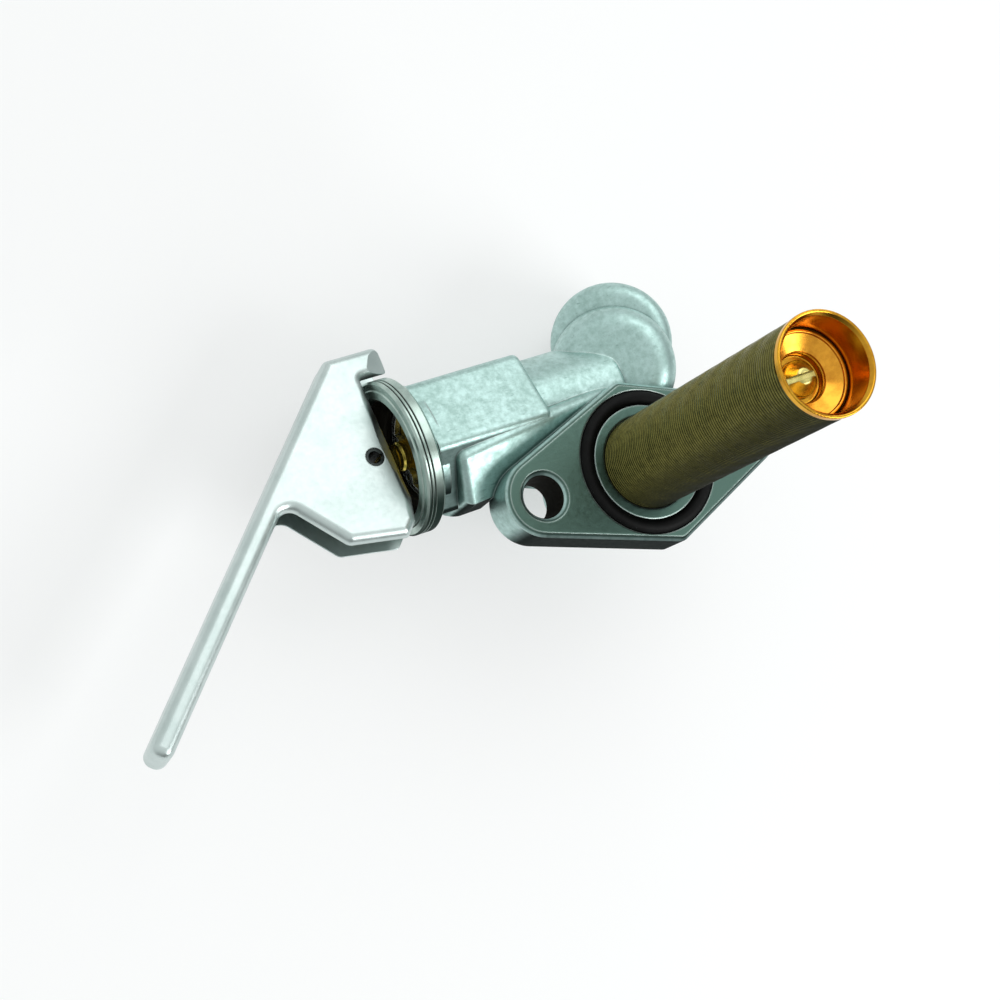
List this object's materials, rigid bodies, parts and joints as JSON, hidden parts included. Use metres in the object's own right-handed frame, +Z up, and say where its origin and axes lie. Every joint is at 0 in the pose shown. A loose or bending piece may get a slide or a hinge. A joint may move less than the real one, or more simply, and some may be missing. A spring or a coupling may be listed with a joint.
{
  "type": "fuel tap",
  "caption": "Flanged metal fuel tap with a hollow lever on its side barrel, a plunger valve inside, a threaded outlet and a tall wire-wound filter on its flange.",
  "frame": {"origin": "centre of the flange face that lies against the tank, midway between the two bolt holes", "axes": "+Z up the filter into the tank, X along the line of the two bolt holes with the barrel's mouth and lever towards -X, +Y towards the barrel's side of the flange"},
  "size_m": [0.1187, 0.053, 0.088],
  "materials": {
    "body": "die cast, satin",
    "seal": "moulded",
    "collar": "turned, zinc plated",
    "seat": "turned",
    "bush": "turned",
    "washer": "stamped",
    "clip": "spring steel, bright",
    "stem": "turned",
    "disc": "moulded",
    "lever": "pressed, nickel plated",
    "filter_plastic": "moulded",
    "winding": "wound wire",
    "cap": "drawn sheet",
    "screw": "turned",
    "anchor": "turned"
  },
  "bodies": {
    "housing": {"body_casting": "body", "face_seal": "seal", "thrust_collar": "collar", "valve_seat": "seat", "guide_bush": "bush", "bush_seal": "seal", "stem_seals": "seal", "gland_washer": "washer", "snap_ring": "clip", "filter_base": "filter_plastic", "filter_core": "filter_plastic", "filter_winding": "winding", "filter_cap": "cap", "cap_washer": "cap", "cap_screw": "screw", "cap_anchor": "anchor"},
    "swivel": {"thrust_washer": "washer", "return_spring": "clip"},
    "plunger": {"stem": "stem", "valve_disc": "disc", "valve_screw": "stem"},
    "handle": {"lever": "lever", "pivot_pin": "clip"}
  },
  "joints": [
    {"name": "stem_swivel", "type": "hinge", "parent": "housing", "child": "swivel", "pos_m": [-0.0376, 0.015, -0.0138], "axis": [1, 0, 0], "continuous": true},
    {"name": "stem_slide", "type": "slide", "parent": "swivel", "child": "plunger", "axis": [-1, 0, 0], "range_m": [0, 0.0078], "deforming": ["return_spring"]},
    {"name": "lever_turn", "type": "hinge", "parent": "plunger", "child": "handle", "pos_m": [-0.0413, 0.015, -0.0138], "axis": [0, 0.1392, 0.9903], "range_deg": [0, 50], "stiffness_Nm_per_rad": 0.024, "springref_deg": -126.05}
  ],
  "couplings": [
    {"joint": "stem_slide", "follows": "lever_turn", "m_per_rad": 0.0089}
  ]
}
